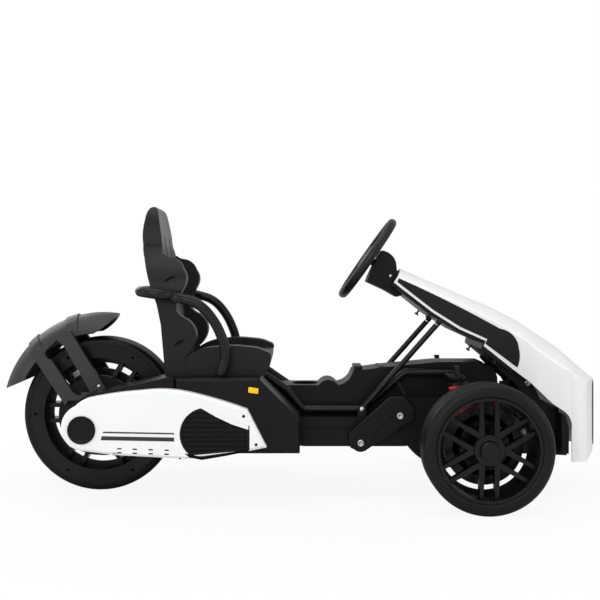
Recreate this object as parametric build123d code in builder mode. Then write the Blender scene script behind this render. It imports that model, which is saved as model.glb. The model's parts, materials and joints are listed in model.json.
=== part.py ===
from build123d import *
from math import cos, sin, radians
import os

# Three-wheeled electric racing kart for a child. Millimetres, Z up, X forward, Y to the driver's left.
# The origin is on the ground, under the centre of the overall box.

# driving sizes
BASE_BACK_X = -256.0
WHEEL_GAP = 12.0
REAR_R = 167.0
REAR_HALF_WIDTH = 50.0
REAR_AXLE_R = 8.0
FRONT_X = 368.0
FRONT_R = 129.0
FRONT_FACE_Y = 355.0
FRONT_WIDTH = 96.0
SPINDLE_R = 6.0
KINGPIN_Y = 225.0
KINGPIN_R = 7.0
STEER_ARM = 90.0
TIE_ROD_R = 5.0
ARM_INNER_Y = 91.0
PAN_HALF_WIDTH = 120.0
PAN_TOP_Z = 168.0
PAN_HIGH_Z = 209.0
RAIL_Y = 81.0
RAIL_R = 8.75
SEAT_Z = 262.0
SEAT_HALF_WIDTH = 195.0
HEADREST_HALF_WIDTH = 105.0
BOLSTER = 47.0
HOOP_R = 10.5
COLUMN_ANGLE = 34.8
COLUMN_X = 151.0
COLUMN_Z = 507.0
COLUMN_R = 8.0
WHEEL_R = 95.0
GRIP_R = 9.5
DROP_ARM = 60.0
BALL_R = 8.0
DROP_NECK = 4.0
HOOD_WALL = 4.0
RUNNING = 0.05
FREE = 0.3
REST = 1.0

# sizes that follow
REAR_X = BASE_BACK_X - WHEEL_GAP - REAR_R
ARMREST_Y = SEAT_HALF_WIDTH + 26
ARM_OUTER_Y = SEAT_HALF_WIDTH + 45
COVER_OUTER_Y = ARM_OUTER_Y + 30
TIE_ROD_Z = FRONT_R + 35
TIE_ROD_X = FRONT_X + STEER_ARM
COLUMN_LEAN = radians(COLUMN_ANGLE)
COLUMN_LENGTH = (TIE_ROD_X - 3 - COLUMN_X + DROP_ARM * sin(COLUMN_LEAN)) / cos(COLUMN_LEAN)


# closed line: (x, y) ends a straight run, (x, y, end x, end y) is an arc through a point to its end
def closed_line(points):
    here = points[0]
    for step in points[1:]:
        end = step[-2:]
        if len(step) == 4:
            ThreePointArc(here, step[:2], end)
        else:
            Line(here, end)
        here = end
    if here != points[0]:
        Line(here, points[0])


# the same line, moved
def moved(points, x, y):
    return [tuple(v + (x if i % 2 == 0 else y) for i, v in enumerate(step)) for step in points]


# side outline in X and Z, swept between two Y planes
def side_outline(points, low_y, high_y, mode=Mode.ADD, grow=0.0):
    with BuildSketch(Plane.XZ.offset(-high_y)) as outline:
        with BuildLine():
            closed_line(points)
        make_face()
        if grow:
            offset(amount=grow, kind=Kind.INTERSECTION, mode=Mode.REPLACE)
    extrude(outline.sketch, amount=high_y - low_y, mode=mode)


# plan outline in X and Y, swept between two heights
def plan_outline(points, low_z, high_z, mode=Mode.ADD, grow=0.0):
    with BuildSketch(Plane.XY.offset(low_z)) as outline:
        with BuildLine():
            closed_line(points)
        make_face()
        if grow:
            offset(amount=grow, kind=Kind.INTERSECTION, mode=Mode.REPLACE)
    extrude(outline.sketch, amount=high_z - low_z, mode=mode)


# front outline in Y and Z, swept between two X planes
def front_outline(points, low_x, high_x, mode=Mode.ADD):
    with BuildSketch(Plane.YZ.offset(low_x)) as outline:
        with BuildLine():
            closed_line(points)
        make_face()
    extrude(outline.sketch, amount=high_x - low_x, mode=mode)


# ring section in Y and radius, turned about a cross axis at x and z, from an angle behind the top
def turned(points, x, z, mode=Mode.ADD, turn=360.0, start=0.0):
    lean = radians(start)
    base = Plane(origin=(x, 0, z), x_dir=(0, 1, 0), z_dir=(cos(lean), 0, sin(lean)))
    with BuildSketch(base) as section:
        with BuildLine():
            closed_line(points)
        make_face()
    revolve(section.sketch, axis=Axis((x, 0, z), (0, 1, 0)), revolution_arc=turn, mode=mode)


# tapered spoke from radius a to radius b at a cross offset, with a width and a Y range at each end
def spoke(x, z, angle, aside, a, b):
    ends = []
    for radius, width, low_y, high_y in (a, b):
        out = Vector(cos(radians(angle)), 0, sin(radians(angle)))
        over = Vector(-sin(radians(angle)), 0, cos(radians(angle)))
        spot = Vector(x, (low_y + high_y) / 2, z) + out * radius + over * aside
        with BuildSketch(Plane(origin=tuple(spot), x_dir=(0, 1, 0), z_dir=tuple(out))) as end:
            Rectangle(high_y - low_y, width)
        ends.append(end.sketch)
    loft(ends, ruled=True)


# round bar between two Y planes at x and z
def cross_bar(x, z, radius, low_y, high_y, mode=Mode.ADD):
    with BuildSketch(Plane.XZ.offset(-high_y)) as disc:
        with Locations((x, z)):
            Circle(radius)
    extrude(disc.sketch, amount=high_y - low_y, mode=mode)


# round upright between two heights
def upright(x, y, radius, low_z, high_z, mode=Mode.ADD):
    with BuildSketch(Plane.XY.offset(low_z)) as disc:
        with Locations((x, y)):
            Circle(radius)
    extrude(disc.sketch, amount=high_z - low_z, mode=mode)


# block between opposite corners
def block(low, high, mode=Mode.ADD):
    centre = [(a + b) / 2 for a, b in zip(low, high)]
    size = [b - a for a, b in zip(low, high)]
    with Locations(tuple(centre)):
        Box(size[0], size[1], size[2], mode=mode)


# round bar between two points
def rod(start, end, radius, mode=Mode.ADD):
    run = Vector(*end) - Vector(*start)
    with BuildSketch(Plane(origin=start, z_dir=tuple(run.normalized()))) as disc:
        Circle(radius)
    extrude(disc.sketch, amount=run.length, mode=mode)


# finished part: label and file
def save(part, name):
    part.label = name
    export_step(part, "parts/" + name + ".step")


os.makedirs("parts", exist_ok=True)

SIDES = (("right", -1.0), ("left", 1.0))


# lower and upper Y of a piece given on the right side, for either side
def ys(sign, inner, outer):
    return (inner, outer) if sign > 0 else (-outer, -inner)


# rear wheel: tyre, rim with paired spokes, fixed axle
BEAD_R = REAR_R - 17
with BuildPart() as rear_tyre:
    half = REAR_HALF_WIDTH
    turned(
        [
            (-half + 4, BEAD_R - 9.7), (half - 4, BEAD_R - 9.7), (half, BEAD_R + FREE), (half, REAR_R - 7),
            (half - 7, REAR_R), (-half + 7, REAR_R), (-half, REAR_R - 7), (-half, BEAD_R + FREE),
        ],
        REAR_X,
        REAR_R,
    )
save(rear_tyre.part, "rear_tyre")

with BuildPart() as rear_rim:
    turned(
        [
            (-half, BEAD_R - 28), (half, BEAD_R - 28), (half, BEAD_R), (half - 4, BEAD_R - 10),
            (-half + 4, BEAD_R - 10), (-half, BEAD_R),
        ],
        REAR_X,
        REAR_R,
    )
    bore = REAR_AXLE_R + RUNNING
    turned([(-half - 2, bore), (half + 2, bore), (half + 2, 26), (34, 34), (-34, 34), (-half - 2, 26)], REAR_X, REAR_R)
    for angle in range(0, 360, 60):
        for aside in (-17, 17):
            spoke(REAR_X, REAR_R, angle, aside, (24, 13, -34, 34), (BEAD_R - 26, 8, -26, 26))
save(rear_rim.part, "rear_rim")

with BuildPart() as rear_axle:
    cross_bar(REAR_X, REAR_R, REAR_AXLE_R, -ARM_OUTER_Y + 30, ARM_OUTER_Y - 30)
save(rear_axle.part, "rear_axle")

# rear arms with the gear housing beside the wheel and the dished round end boss
BASE_BOTTOM_Z = 107.0
BOSS_X = REAR_X - 3
BOSS_Z = REAR_R - 8
BOSS_R = 28.0
ARM_SIDE = moved([(-16, -42), (-41, -6, -31, 33), (-14, 50, 8, 57), (51, 69)], REAR_X, REAR_R)
ARM_SIDE += [(BASE_BACK_X - 14, SEAT_Z), (BASE_BACK_X, SEAT_Z), (BASE_BACK_X, BASE_BOTTOM_Z)]
ARM_SIDE += moved([(105, -60), (19, -53)], REAR_X, REAR_R)
for name, sign in SIDES:
    with BuildPart() as rear_arm:
        low, high = ys(sign, ARM_INNER_Y, ARM_OUTER_Y)
        side_outline(ARM_SIDE, low, high)
        low, high = ys(sign, 73.0, ARM_INNER_Y)
        cross_bar(REAR_X, REAR_R, 30, low, high)
        low, high = ys(sign, REAR_HALF_WIDTH + 5, 73.0)
        cross_bar(REAR_X, REAR_R, 86, low, high)
        face = sign * (COVER_OUTER_Y + 3)
        dish = sign * (COVER_OUTER_Y + 1)
        back = sign * ARM_OUTER_Y
        turned([(back, 0), (back, BOSS_R), (face, BOSS_R), (face, BOSS_R - 4), (dish, BOSS_R - 8), (dish, 0)], BOSS_X, BOSS_Z)
        low, high = ys(sign, REAR_HALF_WIDTH, ARM_OUTER_Y - 30)
        cross_bar(REAR_X, REAR_R, REAR_AXLE_R + FREE, low, high, mode=Mode.SUBTRACT)
    save(rear_arm.part, "rear_arm_" + name)

# white side covers with the round end, the boss hole, the intake opening and two rows of slots
COVER_SIDE = moved([(-2, -50), (-44, 5, -16, 40), (-4, 50, 14, 57), (58, 65, 116, 71)], REAR_X, REAR_R)
COVER_SIDE += [(-266, 240.5, -220, 234), (-163, 219, -106, 200), (-67, 124), (-102, 117), (-165, 107, -230, 101)]
COVER_SIDE += moved([(61, -58)], REAR_X, REAR_R)
INTAKE_SIDE = [(-220, 108), (-241, 145, -199, 203), (-101, 168), (-101, 119)]
SLOT_PITCH = 31.7
for name, sign in SIDES:
    with BuildPart() as side_cover:
        low, high = ys(sign, ARM_OUTER_Y, COVER_OUTER_Y)
        side_outline(COVER_SIDE, low, high)
        outer = side_cover.faces().filter_by(Axis.Y).sort_by(Axis.Y)[-1 if sign > 0 else 0]
        chamfer(outer.outer_wire().edges(), 5.0)
        side_outline(INTAKE_SIDE, low, high, mode=Mode.SUBTRACT)
        cross_bar(BOSS_X, BOSS_Z, BOSS_R + FREE, low, high, mode=Mode.SUBTRACT)
        face = Plane(origin=(REAR_X + 73, sign * COVER_OUTER_Y, REAR_R - 45), x_dir=(1, 0, -0.03), z_dir=(0, sign, 0))
        with BuildSketch(face):
            for row in (0, -8):
                with Locations(*[(i * SLOT_PITCH, row * -sign) for i in range(4)]):
                    SlotOverall(9, 2.6)
        extrude(amount=-2.0, mode=Mode.SUBTRACT)
    save(side_cover.part, "side_cover_" + name)

    # grille let into the intake: a lip round it and a row of slats across its recess
    with BuildPart() as slats:
        low, high = ys(sign, COVER_OUTER_Y - 9.5, COVER_OUTER_Y - 6)
        side_outline(INTAKE_SIDE, low, high, grow=-3.0)
        low, high = ys(sign, COVER_OUTER_Y - 9.5, COVER_OUTER_Y - 6)
        for i in range(9):
            z = 114 + i * 9.5
            block((-245, low, z), (-95, high, z + 5.5), mode=Mode.SUBTRACT)
    with BuildPart() as intake:
        low, high = ys(sign, ARM_OUTER_Y, COVER_OUTER_Y - 2.5)
        side_outline(INTAKE_SIDE, low, high, grow=-0.5)
        low, high = ys(sign, COVER_OUTER_Y - 9.5, COVER_OUTER_Y)
        side_outline(INTAKE_SIDE, low, high, mode=Mode.SUBTRACT, grow=-5.0)
        add(slats.part)
    save(intake.part, "intake_grille_" + name)

# crowned fender over the rear wheel, pointed at both ends, with two raised bands over its top
SKIN_OUT = [(-74, 11), (-61, 29, -40, 43.5), (-20, 51.5, 0, 54), (20, 51.5, 40, 43.5), (61, 29, 74, 11)]
SKIN_IN = [(70, 9), (57.5, 26.5), (38, 39.5), (0, 49.5), (-38, 39.5), (-57.5, 26.5), (-70, 9)]
BAND = [(-73.8, 13), (-62, 32.5, -40.5, 47), (-20, 55, 0, 57.5), (20, 55, 40.5, 47), (62, 32.5, 73.8, 13)]
BAND += [(72, 11), (59.5, 28), (39.5, 42), (0, 52), (-39.5, 42), (-59.5, 28), (-72, 11)]
BAND_SPAN = 7.0
FENDER_SIDE = [
    (-215, 52), (-158, 77), (-85, 83), (-60, 125), (-38, 160, -19, 172), (8, 189, 41, 227), (41, 273), (-265, 273), (-265, 52),
]
with BuildPart() as rear_fender:
    turned(moved(SKIN_OUT + SKIN_IN, 0, REAR_R), REAR_X, REAR_R, turn=180, start=90)
    side_outline(moved(FENDER_SIDE, REAR_X, REAR_R), -90, 90, mode=Mode.INTERSECT)
    for lean in (17.6, 43.5):
        turned(moved(BAND, 0, REAR_R), REAR_X, REAR_R, turn=BAND_SPAN, start=lean + BAND_SPAN / 2)
save(rear_fender.part, "rear_fender")

STRUT_SIDE = moved(
    [(-144, 135), (-134, 143, -124, 143), (-100, 164), (-79, 178), (-67, 184, -59, 183), (23, 51), (30, 33), (-62, 33), (-69, 23)],
    REAR_X,
    REAR_R,
)
STRUT_WINDOW = moved([(-100, 122), (-112, 131, -110, 141), (-87, 163), (-71, 149), (-18, 57), (-20, 47, -28, 46), (-48, 47, -56, 56)], REAR_X, REAR_R)
for name, sign in SIDES:
    with BuildPart() as fender_strut:
        low, high = ys(sign, 74.3, ARM_INNER_Y - FREE)
        side_outline(STRUT_SIDE, low, high)
        side_outline(STRUT_WINDOW, low, high, mode=Mode.SUBTRACT)
        low, high = ys(sign, 88.0, ARM_INNER_Y)
        block((REAR_X - 35, low, REAR_R + 38), (REAR_X + 15, high, REAR_R + 51))
    save(fender_strut.part, "fender_strut_" + name)

# black base under the seat
BASE_SIDE = [(BASE_BACK_X, SEAT_Z), (-86, SEAT_Z), (0, 177), (0, BASE_BOTTOM_Z), (BASE_BACK_X, BASE_BOTTOM_Z)]
with BuildPart() as seat_base:
    side_outline(BASE_SIDE, -ARM_OUTER_Y, ARM_OUTER_Y)
save(seat_base.part, "seat_base")

# bucket seat: back and cushion, each with side bolsters
BACK_SIDE = [
    (-280, SEAT_Z), (-239, SEAT_Z), (-235, 300), (-222, 316, -208, 340), (-214, 356, -232, 372), (-256, 388, -260, 408),
    (-250, 434, -237, 456), (-235, 476, -248, 490), (-267, 498, -283, 509), (-293, 545, -303, 600), (-307, 613, -314, 618),
    (-326, 608, -333, 588), (-331, 520, -318, 455), (-302, 380, -284, 300),
]
BACK_HOLLOW = [(-150, 620), (-283, 620), (-294, 575, -290, 524), (-272, 412, -248, 304), (-150, 304)]
half = SEAT_HALF_WIDTH
head = HEADREST_HALF_WIDTH
BACK_FRONT = [
    (-half, SEAT_Z), (-half, 462), (-half + 8, 490, -half + 40, 503), (-head - 10, 520, -head, 560), (-head + 15, 606, -55, 618),
    (55, 618), (head - 15, 606, head, 560), (head + 10, 520, half - 40, 503), (half - 8, 490, half, 462), (half, SEAT_Z),
]
with BuildPart() as seat_back:
    side_outline(BACK_SIDE, -half, half)
    front_outline(BACK_FRONT, -400, -150, mode=Mode.INTERSECT)
    side_outline(BACK_HOLLOW, -half + BOLSTER, half - BOLSTER, mode=Mode.SUBTRACT)
    # belt slots through the shoulders
    with BuildSketch(Plane.YZ.offset(-400)):
        with Locations((-45, 532), (45, 532)):
            SlotOverall(44, 13, rotation=90)
    extrude(amount=250, mode=Mode.SUBTRACT)
save(seat_back.part, "seat_back")

CUSHION_SIDE = [
    (-234, 300), (-204, 315, -167, 319), (-140, 327, -115, 322), (-90, 313, -68, 300), (-61, 288, -72, 274), (-86, SEAT_Z),
    (-238, SEAT_Z),
]
CUSHION_HOLLOW = [(-260, 282), (-170, 284, -100, 300), (-50, 300), (-50, 340), (-260, 340)]
with BuildPart() as seat_cushion:
    side_outline(CUSHION_SIDE, -half, half)
    side_outline(CUSHION_HOLLOW, -half + BOLSTER + 3, half - BOLSTER - 3, mode=Mode.SUBTRACT)
save(seat_cushion.part, "seat_cushion")

# bent tube round the back of the seat, with an arm rest down each side
with BuildPart() as backrest_hoop:
    with BuildLine():
        FilletPolyline(
            (-262, -ARMREST_Y, 427), (-352, -ARMREST_Y, 438), (-352, ARMREST_Y, 438), (-262, ARMREST_Y, 427), radius=45
        )
    with BuildSketch(Plane(origin=(-262, -ARMREST_Y, 427), z_dir=(-90, 0, 11))):
        Circle(HOOP_R)
    sweep()
save(backrest_hoop.part, "backrest_hoop")

for name, sign in SIDES:
    y = sign * ARMREST_Y
    with BuildPart() as armrest:
        with BuildLine():
            FilletPolyline(
                (-262, y, 427), (-186, y, 417.7), (-146, y, 340), (-166, y, SEAT_Z + 22), (-166, y, SEAT_Z), radius=(28, 28, 40)
            )
        with BuildSketch(Plane(origin=(-262, y, 427), z_dir=(90, 0, -11))):
            Circle(HOOP_R)
        sweep()
    save(armrest.part, "armrest_" + name)

# frame rails from the seat base to the front deck
for name, sign in SIDES:
    y = sign * RAIL_Y
    with BuildPart() as rail:
        with BuildLine():
            FilletPolyline((-75, y, 255), (-27, y, 222), (8, y, 181), (134, y, 181), (227, y, 260), (339, y, 260), radius=18)
        with BuildSketch(Plane(origin=(-75, y, 255), z_dir=(48, 0, -33))):
            Circle(RAIL_R)
        sweep()
        side_outline(BASE_SIDE, y - 20, y + 20, mode=Mode.SUBTRACT)
        block((-100, y - 20, SEAT_Z), (-60, y + 20, SEAT_Z + 28), mode=Mode.SUBTRACT)
    save(rail.part, "frame_rail_" + name)

# floor pan with its sills, the side link covers and the foot pedal
LINK_REAR = (128.0, 118.0)
LINK_FRONT = (211.0, 174.0)
LINK_R = 20.0
PAN_SIDE = [
    (0, 107), (234, 107), (264, 90), (430, 90), (430, PAN_HIGH_Z), (202, PAN_HIGH_Z), (165, PAN_TOP_Z), (0, PAN_TOP_Z),
]
with BuildPart() as floor_pan:
    side_outline(PAN_SIDE, -PAN_HALF_WIDTH, PAN_HALF_WIDTH)
    run = Vector(*LINK_FRONT) - Vector(*LINK_REAR)
    for sign in (-1, 1):
        low, high = ys(sign, PAN_HALF_WIDTH, PAN_HALF_WIDTH + 6)
        side_outline([(6, 107), (225, 107), (214, 143), (6, 143)], low, high)
        low, high = ys(sign, PAN_HALF_WIDTH, PAN_HALF_WIDTH + 28)
        with BuildSketch(Plane.XZ.offset(-high)):
            with Locations(((LINK_REAR[0] + LINK_FRONT[0]) / 2, (LINK_REAR[1] + LINK_FRONT[1]) / 2)):
                SlotOverall(run.length + 2 * LINK_R, 2 * LINK_R, rotation=34.0)
        extrude(amount=high - low)
    side_outline([(222, PAN_HIGH_Z), (230, PAN_HIGH_Z), (216, 238), (211, 241, 208, 238)], -118, -92)
save(floor_pan.part, "floor_pan")

# console over the floor, with the battery deck in front and a shallow tray in its top
CONSOLE_SIDE = [
    (-51, 231), (42, 231), (63, 242, 83, 231), (101, 238, 116, 261), (184, 270), (300, 281),
    (398, 281), (401, 271), (422, 270), (430, 248), (430, PAN_HIGH_Z), (202, PAN_HIGH_Z), (165, PAN_TOP_Z), (1, PAN_TOP_Z),
    (1, 179.5),
]
with BuildPart() as console:
    side_outline(CONSOLE_SIDE, -60, 60)
    with BuildSketch(Plane.XY.offset(231)):
        with Locations((12, 0)):
            Ellipse(28, 40)
    extrude(amount=-9, mode=Mode.SUBTRACT)
    for x in (128, 181):
        block((x - 9, -48, 255), (x + 9, 48, 271))
save(console.part, "console")

# front bulkhead with the two lugs that carry the nose of the hood
BULKHEAD_SIDE = [(430, 90), (572, 84), (566, 120), (562, 160, 552, 186), (478, 190), (478, 150), (430, 150)]
LUG_SIDE = [(480, 180), (480, 205), (464, 234), (470, 250, 484, 252), (494, 250, 498, 240), (526, 180)]
with BuildPart() as front_bulkhead:
    side_outline(BULKHEAD_SIDE, -100, 100)
    for sign in (-1, 1):
        low, high = ys(sign, 90, 100)
        side_outline(LUG_SIDE, low, high)
save(front_bulkhead.part, "front_bulkhead")

# hood: a crowned open shell, narrow at the steering column and curved round the nose
HOOD_PLAN = [
    (190, -70.6), (481, -161), (524, -168, 566, -168), (594, -163, 606, -144), (624, -98, 636, -58), (647, 0, 636, 58),
    (624, 98, 606, 144), (594, 163, 566, 168), (524, 168, 481, 161), (190, 70.6),
]
HOOD_LOWER = [(203.6, 454), (283, 391), (339, 355), (393.5, 330.6), (389, 320), (449, 271)]
HOOD_TRIM = HOOD_LOWER + [
    (481.6, 246), (526.6, 202.7), (548, 188), (561, 176, 567, 146), (567, 80), (600, 80), (622, 88), (650, 90),
    (650, 205), (636, 251), (636, 520), (223, 520), (223, 484),
]
HOOD_STATIONS = [
    (190, 72, 478, 498), (290, 104, 431, 455), (370, 129, 394, 421), (423, 145, 365, 399), (481, 163, 327, 368),
    (561, 170, 271, 315), (600, 170, 239, 281), (638, 170, 209, 249), (655, 170, 178, 214),
]
SHOULDER_R = 12.0


# solid under the crowned skin, set in from it by a wall
def crowned(wall):
    sections = []
    for x, width, shoulder, crown in HOOD_STATIONS:
        reach = width - wall
        with BuildSketch(Plane.YZ.offset(x)) as section:
            with BuildLine():
                closed_line([(-reach, 0), (reach, 0), (reach, shoulder - wall), (0, crown - wall, -reach, shoulder - wall)])
            make_face()
            fillet(section.vertices().group_by(Axis.Y)[-1], SHOULDER_R - wall / 2)
        sections.append(section.sketch)
    with BuildPart() as skin:
        loft(sections, ruled=True)
    return skin.part


with BuildPart() as hood_core:
    add(crowned(HOOD_WALL))
    plan_outline(HOOD_PLAN, 0, 600, mode=Mode.INTERSECT, grow=-HOOD_WALL)
with BuildPart() as hood:
    add(crowned(0.0))
    plan_outline(HOOD_PLAN, 0, 600, mode=Mode.INTERSECT)
    side_outline(HOOD_TRIM, -200, 200, mode=Mode.INTERSECT)
    add(hood_core.part, mode=Mode.SUBTRACT)
save(hood.part, "hood")

# black panels on the side walls of the hood
PANEL_SIDE = [
    (214, 463), (330, 407, 422, 357), (449, 342, 459, 317), (461, 296, 456, 276), (392, 325), (396.5, 334.5), (341, 360),
    (285, 396), (211, 455),
]
PANEL_THICK = 1.5
for name, sign in SIDES:
    with BuildPart() as panel:
        low, high = ys(sign, 40, 200)
        side_outline(PANEL_SIDE, low, high)
        edge = [(190, sign * 70.6), (481, sign * 161), (481, sign * (161 + PANEL_THICK)), (190, sign * (70.6 + PANEL_THICK))]
        plan_outline(edge, 0, 600, mode=Mode.INTERSECT)
    save(panel.part, "hood_panel_" + name)

# dark strip down the front of the nose
with BuildPart() as nose_strip:
    plan_outline([(642.2, -40), (647.3, 0, 642.2, 40), (645.2, 40), (650.3, 0, 645.2, -40)], 128, 205)
save(nose_strip.part, "nose_strip")

# frame under the hood and the housing round the steering column
ALONG = (cos(COLUMN_LEAN), 0.0, -sin(COLUMN_LEAN))
ACROSS = (-sin(COLUMN_LEAN), 0.0, -cos(COLUMN_LEAN))


# point at a distance along the column and a distance across it
def on_column(along, across, y=0.0):
    x = COLUMN_X + along * ALONG[0] + across * ACROSS[0]
    z = COLUMN_Z + along * ALONG[2] + across * ACROSS[2]
    return (x, y, z)


TRAY_UNDER = [(440, 262), (380, 306), (326, 343), (270, 378), (205, 426), (188, 440)]
COLUMN_HOUSING = [(147, 455), (161, 488, 181, 524), (200, 515, 211, 498), (213, 481), (232, 428), (212, 422), (188, 436)]
CHEEK_SIDE = [
    (420, 290), (440, 277.5), (470, 258), (488, 252, 492, 242), (484, 231, 468, 232), (432, 262), (415, 281),
]
with BuildPart() as hood_frame:
    side_outline(HOOD_LOWER + TRAY_UNDER, -180, 180)
    plan_outline(HOOD_PLAN, 0, 600, mode=Mode.INTERSECT)
    side_outline(COLUMN_HOUSING, -45, 45)
    for sign in (-1, 1):
        low, high = ys(sign, 100, 108)
        side_outline(CHEEK_SIDE, low, high)
    rod(on_column(-60, 0), on_column(150, 0), COLUMN_R + RUNNING, mode=Mode.SUBTRACT)
    rod(on_column(150, 0), on_column(COLUMN_LENGTH - 70, 0), COLUMN_R + 2 * REST, mode=Mode.SUBTRACT)
save(hood_frame.part, "hood_frame")

# struts that hold the hood up
for name, sign in SIDES:
    with BuildPart() as strut:
        y = sign * 100.0
        rod((133, y, 183), (300, y, 371), 6)
        side_outline(HOOD_LOWER[:5] + TRAY_UNDER[1:], y - 9, y + 9, mode=Mode.SUBTRACT)
        low, high = ys(sign, 94, 106)
        cross_bar(133, 183, 9, low, high)
        block((124, low, PAN_TOP_Z), (142, high, 183))
    save(strut.part, "hood_strut_" + name)

# front axle carriers: pierced lower arm on a flange, kingpin bracket and kingpin
LUG_LOW_Z = FRONT_R - 25
LUG_HIGH_Z = FRONT_R + 43
LUG = 12.0
for name, sign in SIDES:
    with BuildPart() as carrier:
        inner = sign * (PAN_HALF_WIDTH + 6)
        outer = sign * (KINGPIN_Y - 13)
        arm = [(318, inner), (FRONT_X + 54, inner), (FRONT_X + 22, outer), (FRONT_X - 34, outer)]
        plan_outline(arm, LUG_LOW_Z - LUG, LUG_LOW_Z)
        window = [(FRONT_X, sign * 136), (FRONT_X + 34, sign * 136), (FRONT_X + 17, sign * 192), (FRONT_X, sign * 192)]
        plan_outline(window, LUG_LOW_Z - LUG, LUG_LOW_Z, mode=Mode.SUBTRACT)
        low, high = ys(sign, PAN_HALF_WIDTH, PAN_HALF_WIDTH + 6)
        side_outline([(318, LUG_LOW_Z - LUG), (FRONT_X + 54, LUG_LOW_Z - LUG), (FRONT_X + 46, 160), (326, 160)], low, high)
        for top in (LUG_LOW_Z, LUG_HIGH_Z + LUG):
            upright(FRONT_X, sign * KINGPIN_Y, 15, top - LUG, top)
            low, high = ys(sign, KINGPIN_Y - 21, KINGPIN_Y)
            block((FRONT_X - 15, low, top - LUG), (FRONT_X + 15, high, top))
        low, high = ys(sign, KINGPIN_Y - 23, KINGPIN_Y - 17)
        block((FRONT_X - 15, low, LUG_LOW_Z - LUG), (FRONT_X + 15, high, LUG_HIGH_Z + LUG))
        upright(FRONT_X, sign * KINGPIN_Y, KINGPIN_R, LUG_LOW_Z - LUG, LUG_HIGH_Z + LUG)
    save(carrier.part, "axle_carrier_" + name)

# cross beam that carries the tops of the dampers, tapered to its ends
DAMPER_Y = 180.0
TOWER_Z = 281.0
with BuildPart() as shock_tower:
    tip = DAMPER_Y + 26
    plan_outline([(300, -100), (314, -tip), (335, -tip), (346, -100), (346, 100), (335, tip), (314, tip), (300, 100)], TOWER_Z, TOWER_Z + 6)
save(shock_tower.part, "shock_tower")

DAMPER_FOOT = (347.0, LUG_LOW_Z)
DAMPER_HEAD = (324.5, TOWER_Z + 6)
SPRING_R = 21.0
SPRING_START = 50.0
SPRING_END = 140.0
CUP = 6.0


# point on the damper's line at a distance from its foot
def on_damper(distance, y):
    run = Vector(DAMPER_HEAD[0] - DAMPER_FOOT[0], 0, DAMPER_HEAD[1] - DAMPER_FOOT[1])
    spot = Vector(DAMPER_FOOT[0], y, DAMPER_FOOT[1]) + run.normalized() * distance
    return tuple(spot)


for name, sign in SIDES:
    y = sign * DAMPER_Y
    with BuildPart() as damper:
        rod(on_damper(-2, y), (DAMPER_HEAD[0], y, DAMPER_HEAD[1]), 6)
        rod(on_damper(-2, y), on_damper(SPRING_START, y), 12)
        rod(on_damper(SPRING_START - CUP, y), on_damper(SPRING_START, y), SPRING_R)
        rod(on_damper(SPRING_END, y), on_damper(SPRING_END + CUP, y), SPRING_R)
        block((325, y - 24, LUG_LOW_Z - 44), (369, y + 24, LUG_LOW_Z), mode=Mode.SUBTRACT)
        block((300, y - 24, TOWER_Z), (350, y + 24, TOWER_Z + 19), mode=Mode.SUBTRACT)
    save(damper.part, "damper_" + name)
    with BuildPart() as spring:
        rod(on_damper(SPRING_START, y), on_damper(SPRING_END, y), SPRING_R)
        rod(on_damper(0, y), on_damper(SPRING_END + CUP, y), 14, mode=Mode.SUBTRACT)
    save(spring.part, "spring_" + name)

# steering knuckles with the wheel spindle, the tapered steering arm and its pin
PIN_R = 5.0
for name, sign in SIDES:
    y = sign * KINGPIN_Y
    with BuildPart() as knuckle:
        upright(FRONT_X, y, 13, LUG_LOW_Z + 2, LUG_HIGH_Z - 2)
        low, high = ys(sign, KINGPIN_Y, FRONT_FACE_Y - 8)
        cross_bar(FRONT_X, FRONT_R, SPINDLE_R, low, high)
        low, high = ys(sign, KINGPIN_Y, FRONT_FACE_Y - FRONT_WIDTH - 3)
        cross_bar(FRONT_X, FRONT_R, 17, low, high)
        base = TIE_ROD_Z - 26
        plan_outline([(FRONT_X, y - 8), (TIE_ROD_X, y - 6.5), (TIE_ROD_X, y + 6.5), (FRONT_X, y + 8)], base, base + 14)
        upright(TIE_ROD_X, y, 9, base, base + 14)
        upright(TIE_ROD_X, y, PIN_R, base + 14, TIE_ROD_Z + 11)
        upright(FRONT_X, y, KINGPIN_R + RUNNING, LUG_LOW_Z - 4, LUG_HIGH_Z + 8, mode=Mode.SUBTRACT)
    save(knuckle.part, "knuckle_" + name)

# tie rod between the steering arms, with a fork for the drop arm
ball = on_column(COLUMN_LENGTH, DROP_ARM)
with BuildPart() as tie_rod:
    rod((TIE_ROD_X, -KINGPIN_Y, TIE_ROD_Z), (TIE_ROD_X, KINGPIN_Y, TIE_ROD_Z), TIE_ROD_R)
    for sign in (-1, 1):
        upright(TIE_ROD_X, sign * KINGPIN_Y, 10, TIE_ROD_Z - 6, TIE_ROD_Z + 6)
        upright(TIE_ROD_X, sign * KINGPIN_Y, PIN_R + RUNNING, TIE_ROD_Z - 14, TIE_ROD_Z + 16, mode=Mode.SUBTRACT)
        low, high = ys(sign, BALL_R + REST, 16)
        block((TIE_ROD_X - 12, low, TIE_ROD_Z), (TIE_ROD_X + 10, high, ball[2] + 11))
    block((TIE_ROD_X - 12, -16, TIE_ROD_Z - 4), (TIE_ROD_X + 10, 16, TIE_ROD_Z + 12))
save(tie_rod.part, "tie_rod")

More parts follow.
